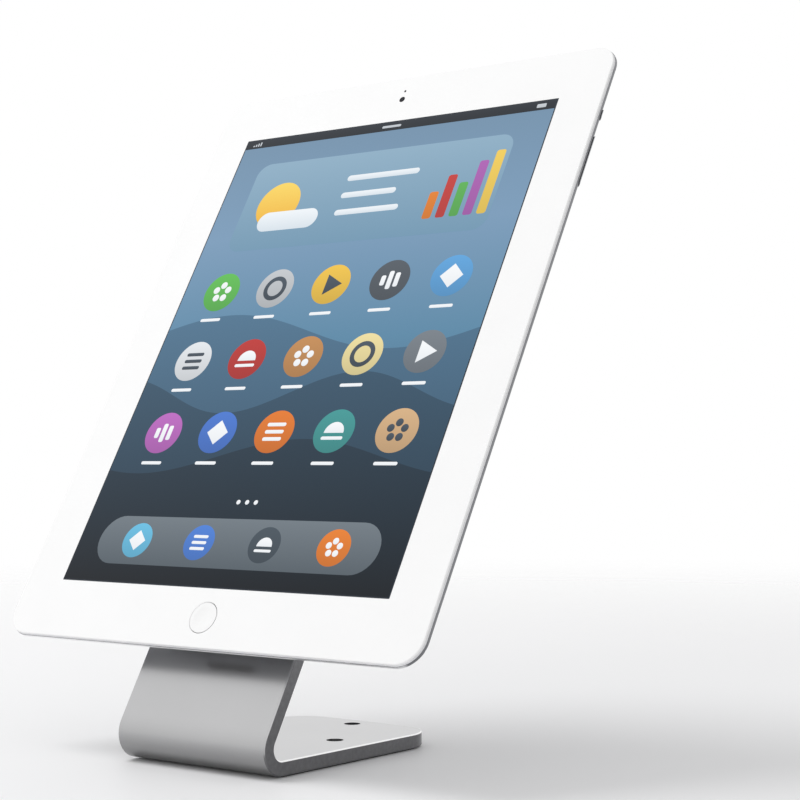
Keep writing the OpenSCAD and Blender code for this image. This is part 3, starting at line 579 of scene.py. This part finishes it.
# Wide card with a sun and a cloud, lines and a small chart
CARD_W = 122
CARD_H = 42
CARD_CORNER = 6
CARD_Y = 64
SUN_R = 10.5
SUN_X = -43
CLOUD_W = 30
CLOUD_H = 9
CLOUD_X = -35
CLOUD_Y = CARD_Y - 8
LINES_LEFT = -12
LINES_TOP = CARD_Y + 9
LINE_LENGTHS = (34, 26, 30)
LINE_H = 2.6
LINE_STEP = 8
CHART_LEFT = 33
CHART_FOOT = CARD_Y - 14
CHART_STEP = 6
CHART_HEIGHTS = (12, 19, 15, 24, 28)
COLUMN_W = 4
COLUMN_CORNER = 1
card = bmesh.new()
add_solid(card, [round_box(CARD_W, CARD_H, CARD_CORNER, 0, CARD_Y)], layer(FRONT_LAYER))
add_solid(card, [regular(SUN_R, SUN_X, CARD_Y)], layer(FRONT_LAYER + 1), 1)
add_solid(card, [round_box(CLOUD_W, CLOUD_H, CLOUD_H / 2, CLOUD_X, CLOUD_Y)], layer(FRONT_LAYER + 2), 2)
for row, length in enumerate(LINE_LENGTHS):
    line = round_box(length, LINE_H, LINE_H / 2, LINES_LEFT + length / 2, LINES_TOP - LINE_STEP * row)
    add_solid(card, [line], layer(FRONT_LAYER + 1), 2)
for number, height in enumerate(CHART_HEIGHTS):
    column_x = CHART_LEFT + CHART_STEP * number
    column = round_box(COLUMN_W, height, COLUMN_CORNER, column_x, CHART_FOOT + height / 2)
    add_solid(card, [column], layer(FRONT_LAYER + 1), 3 + number)
CHART = [
    srgb(226, 128, 40), srgb(196, 60, 56), srgb(92, 176, 84), srgb(172, 96, 178), srgb(240, 204, 88),
]
CARD_TONES = [
    lit("card_pane", srgb(112, 150, 176), srgb(140, 172, 194)),
    lit("card_sun", srgb(236, 176, 52), srgb(248, 214, 98)),
    lit("card_lines", srgb(214, 224, 232), srgb(238, 243, 247)),
]
CARD_TONES += [lit(f"chart_{i}", tint(c, 0.8), c) for i, c in enumerate(CHART)]
tablet_piece("screen_card", card, CARD_TONES)


# Plain marks on the round tiles: each gives the outlines of its solids, in shares of the tile's radius r


def mark_ring(r, x, y):
    return [[regular(0.62 * r, x, y), regular(0.4 * r, x, y)]]


def mark_bars(r, x, y):
    heights = (0.5, 0.9, 0.7)
    return [[round_box(0.24 * r, height * r, 0.08 * r, x + (i - 1) * 0.36 * r, y)]
            for i, height in enumerate(heights)]


def mark_triangle(r, x, y):
    return [[regular(0.6 * r, x, y, 3)]]


def mark_lines(r, x, y):
    return [[round_box(1.0 * r, 0.17 * r, 0.08 * r, x, y + (i - 1) * 0.34 * r)] for i in range(3)]


def mark_diamond(r, x, y):
    return [[regular(0.58 * r, x, y, 4)]]


def mark_dots(r, x, y):
    return [[regular(0.18 * r, x + 0.36 * r * math.cos(a), y + 0.36 * r * math.sin(a), 20)]
            for a in (0.3 + 2 * math.pi * i / 5 for i in range(5))]


def mark_half(r, x, y):
    angles = [math.pi * step / 24 for step in range(25)]
    dome = [(x + 0.5 * r * math.cos(a), y - 0.08 * r + 0.5 * r * math.sin(a)) for a in angles]
    return [[polygon(dome)], [round_box(1.1 * r, 0.15 * r, 0.07 * r, x, y - 0.32 * r)]]


MARKS = [mark_dots, mark_ring, mark_triangle, mark_bars, mark_diamond, mark_lines, mark_half]
TILE_COLOURS = [
    srgb(96, 190, 84), srgb(196, 200, 204), srgb(240, 196, 72), srgb(84, 92, 100), srgb(94, 164, 220),
    srgb(228, 232, 236), srgb(190, 52, 48), srgb(196, 140, 84), srgb(238, 222, 160), srgb(120, 128, 136),
    srgb(188, 104, 192), srgb(72, 120, 208), srgb(228, 122, 40), srgb(64, 152, 150), srgb(214, 176, 132),
]
TILE_R = 8.6
TILE_STEP_X = 27
TILE_STEP_Y = 31
TILE_TOP = 24
COLUMNS = 5

# Label under each tile: width, height and corner, and its distance below the tile's middle
LABEL = (10, 1.3, 0.6)
LABEL_DROP = 12.6

# Tiles whose colour sums to more than this have dark marks, and all are shaded towards their foot
PALE_TILE = 1.3
FOOT_SHADE = 0.72

tiles = bmesh.new()
marks = bmesh.new()
for index in range(len(TILE_COLOURS)):
    x = (index % COLUMNS - (COLUMNS - 1) / 2) * TILE_STEP_X
    y = TILE_TOP - index // COLUMNS * TILE_STEP_Y
    add_solid(tiles, [regular(TILE_R, x, y)], layer(FRONT_LAYER), index)
    mark_tone = 1 if sum(TILE_COLOURS[index][:3]) > PALE_TILE else 0
    for outlines in MARKS[index % len(MARKS)](TILE_R, x, y):
        add_solid(marks, outlines, layer(FRONT_LAYER + 1), mark_tone)
    add_solid(marks, [round_box(*LABEL, x, y - LABEL_DROP)], layer(FRONT_LAYER))

# Dots below the tiles, and a rounded bar at the foot of the screen with four tiles of its own
DOTS_Y = -66
DOT_R = 0.9
DOT_STEP = 4
for place in (-1, 0, 1):
    add_solid(marks, [regular(DOT_R, place * DOT_STEP, DOTS_Y, 24)], layer(FRONT_LAYER))
BAR_Y = -82
BAR_W = 128
BAR_H = 19
BAR_R = 6.8
BAR_STEP = 30
BAR_FIRST_MARK = 4
BAR_COLOURS = [srgb(104, 190, 226), srgb(76, 128, 214), srgb(70, 82, 92), srgb(232, 128, 44)]
bar = bmesh.new()
add_solid(bar, [round_box(BAR_W, BAR_H, BAR_H / 2, 0, BAR_Y)], layer(FRONT_LAYER))
for index, colour in enumerate(BAR_COLOURS):
    x = (index - (len(BAR_COLOURS) - 1) / 2) * BAR_STEP
    add_solid(bar, [regular(BAR_R, x, BAR_Y)], layer(FRONT_LAYER + 1), 1 + index)
    for outlines in MARKS[(index + BAR_FIRST_MARK) % len(MARKS)](BAR_R, x, BAR_Y):
        add_solid(marks, outlines, layer(FRONT_LAYER + 2))
TILE_TONES = [lit(f"tile_{i}", tint(c, FOOT_SHADE), c) for i, c in enumerate(TILE_COLOURS)]
BAR_TONES = [lit("bar_pane", srgb(84, 94, 102), srgb(112, 122, 130))]
BAR_TONES += [lit(f"bar_tile_{i}", tint(c, FOOT_SHADE), c) for i, c in enumerate(BAR_COLOURS)]
MARK_TONES = [
    lit("mark_light", srgb(232, 236, 240), srgb(246, 248, 250)),
    lit("mark_dark", srgb(56, 66, 76), srgb(72, 84, 96)),
]
tablet_piece("screen_tiles", tiles, TILE_TONES)
tablet_piece("screen_bar", bar, BAR_TONES)
tablet_piece("screen_marks", marks, MARK_TONES)

# Camera window with its lens, and the light sensor, in the white border
WINDOW_R = 1.25
LENS_R = 0.65
LIGHT_SENSOR_R = 0.5
window = bmesh.new()
camera_x, camera_y = middle("front_camera")
sensor_x, sensor_y = middle("light_sensor")
add_solid(window, [regular(WINDOW_R, camera_x, camera_y)], layer(1))
add_solid(window, [regular(LENS_R, camera_x, camera_y)], layer(2), 1)
add_solid(window, [regular(LIGHT_SENSOR_R, sensor_x, sensor_y)], layer(1))
WINDOW_TONES = [
    surface("window_black", srgb(20, 20, 22), 0.12, vary=0.1, relief=0, Specular_IOR_Level=0.15),
    surface("window_lens", srgb(16, 20, 34), 0.05, vary=0.2, relief=0, Specular_IOR_Level=0.3),
]
tablet_piece("camera_window", window, WINDOW_TONES)

# Camera
level_share = math.cos(CAMERA_ELEVATION)
view_forward = Vector((-math.sin(CAMERA_AZIMUTH) * level_share,
                       math.cos(CAMERA_AZIMUTH) * level_share, -math.sin(CAMERA_ELEVATION)))
view_right = view_forward.cross(Vector((0, 0, 1))).normalized()
view_down = view_forward.cross(view_right)
rolled_right = math.cos(CAMERA_ROLL) * view_right + math.sin(CAMERA_ROLL) * view_down
rolled_down = math.cos(CAMERA_ROLL) * view_down - math.sin(CAMERA_ROLL) * view_right
camera_data = bpy.data.cameras.new("camera")
camera_data.sensor_width = SENSOR_WIDTH
camera_data.lens = FOCAL_PIXELS / PHOTO_SIDE * SENSOR_WIDTH
camera_data.clip_start = 0.01
camera_data.clip_end = 50
camera = bpy.data.objects.new("camera", camera_data)
bpy.context.scene.collection.objects.link(camera)
camera.matrix_world = Matrix((rolled_right, -rolled_down, -view_forward)).transposed().to_4x4()
camera.location = CAMERA_AT
bpy.context.scene.camera = camera

# Pale floor that fades into the white background, over these distances in metres
FLOOR_R = 6
FADE_FROM = 0.2
FADE_TO = 1.2
floor_mesh = bmesh.new()
bmesh.ops.create_circle(floor_mesh, cap_ends=True, segments=96, radius=FLOOR_R)
floor_data = bpy.data.meshes.new("floor")
floor_mesh.to_mesh(floor_data)
floor_mesh.free()
floor = bpy.data.objects.new("floor", floor_data)
bpy.context.scene.collection.objects.link(floor)
floor_material, floor_tree, floor_shader = new_material("floor_pale")
floor_shader.inputs["Base Color"].default_value = srgb(243, 243, 244)
floor_shader.inputs["Roughness"].default_value = 0.5
floor_shader.inputs["Specular IOR Level"].default_value = 0.2
floor_place = floor_tree.nodes.new("ShaderNodeTexCoord").outputs["Object"]
floor_radius = floor_tree.nodes.new("ShaderNodeVectorMath")
floor_radius.operation = "LENGTH"
floor_tree.links.new(floor_place, floor_radius.inputs[0])
fade = remap(floor_tree, floor_radius.outputs["Value"], FADE_FROM, FADE_TO, 0, 1)
clear = floor_tree.nodes.new("ShaderNodeBsdfTransparent")
blend = floor_tree.nodes.new("ShaderNodeMixShader")
floor_tree.links.new(fade, blend.inputs["Fac"])
floor_tree.links.new(floor_shader.outputs["BSDF"], blend.inputs[1])
floor_tree.links.new(clear.outputs["BSDF"], blend.inputs[2])
floor_tree.links.new(blend.outputs["Shader"], floor_tree.nodes["Material Output"].inputs["Surface"])
floor_data.materials.append(floor_material)

# White surroundings for the camera, gloss and glass, and a plain soft level for everything else
AMBIENT = 0.67
world = bpy.data.worlds.new("studio")
bpy.context.scene.world = world
world.use_nodes = True
world_tree = world.node_tree
soft = world_tree.nodes["Background"]
soft.inputs["Color"].default_value = (1, 1, 1, 1)
soft.inputs["Strength"].default_value = AMBIENT
white = world_tree.nodes.new("ShaderNodeBackground")
white.inputs["Color"].default_value = (1, 1, 1, 1)
white.inputs["Strength"].default_value = 1
path = world_tree.nodes.new("ShaderNodeLightPath")
seen = calculate(world_tree, "MAXIMUM", path.outputs["Is Camera Ray"], path.outputs["Is Glossy Ray"])
seen = calculate(world_tree, "MAXIMUM", seen, path.outputs["Is Transmission Ray"])
choose = world_tree.nodes.new("ShaderNodeMixShader")
world_tree.links.new(seen, choose.inputs["Fac"])
world_tree.links.new(soft.outputs["Background"], choose.inputs[1])
world_tree.links.new(white.outputs["Background"], choose.inputs[2])
world_tree.links.new(choose.outputs["Shader"], world_tree.nodes["World Output"].inputs["Surface"])


def lamp(name, place, aim, size, power):
    """Soft round lamp, which gloss doesn't mirror."""
    data = bpy.data.lights.new(name, "AREA")
    data.shape = "DISK"
    data.size = size
    data.energy = power
    made = bpy.data.objects.new(name, data)
    bpy.context.scene.collection.objects.link(made)
    made.location = place
    made.rotation_euler = (Vector(aim) - Vector(place)).to_track_quat("-Z", "Y").to_euler()
    made.visible_glossy = False


# Key lamp from the left and above, and a weak one in front
lamp("key", (-1.0, -0.5, 1.7), (0, 0, 0.1), 1.2, 16)
lamp("front", (0.2, -1.8, 0.7), (0, 0, 0.12), 1.2, 3)

bpy.context.scene.view_settings.view_transform = "Standard"
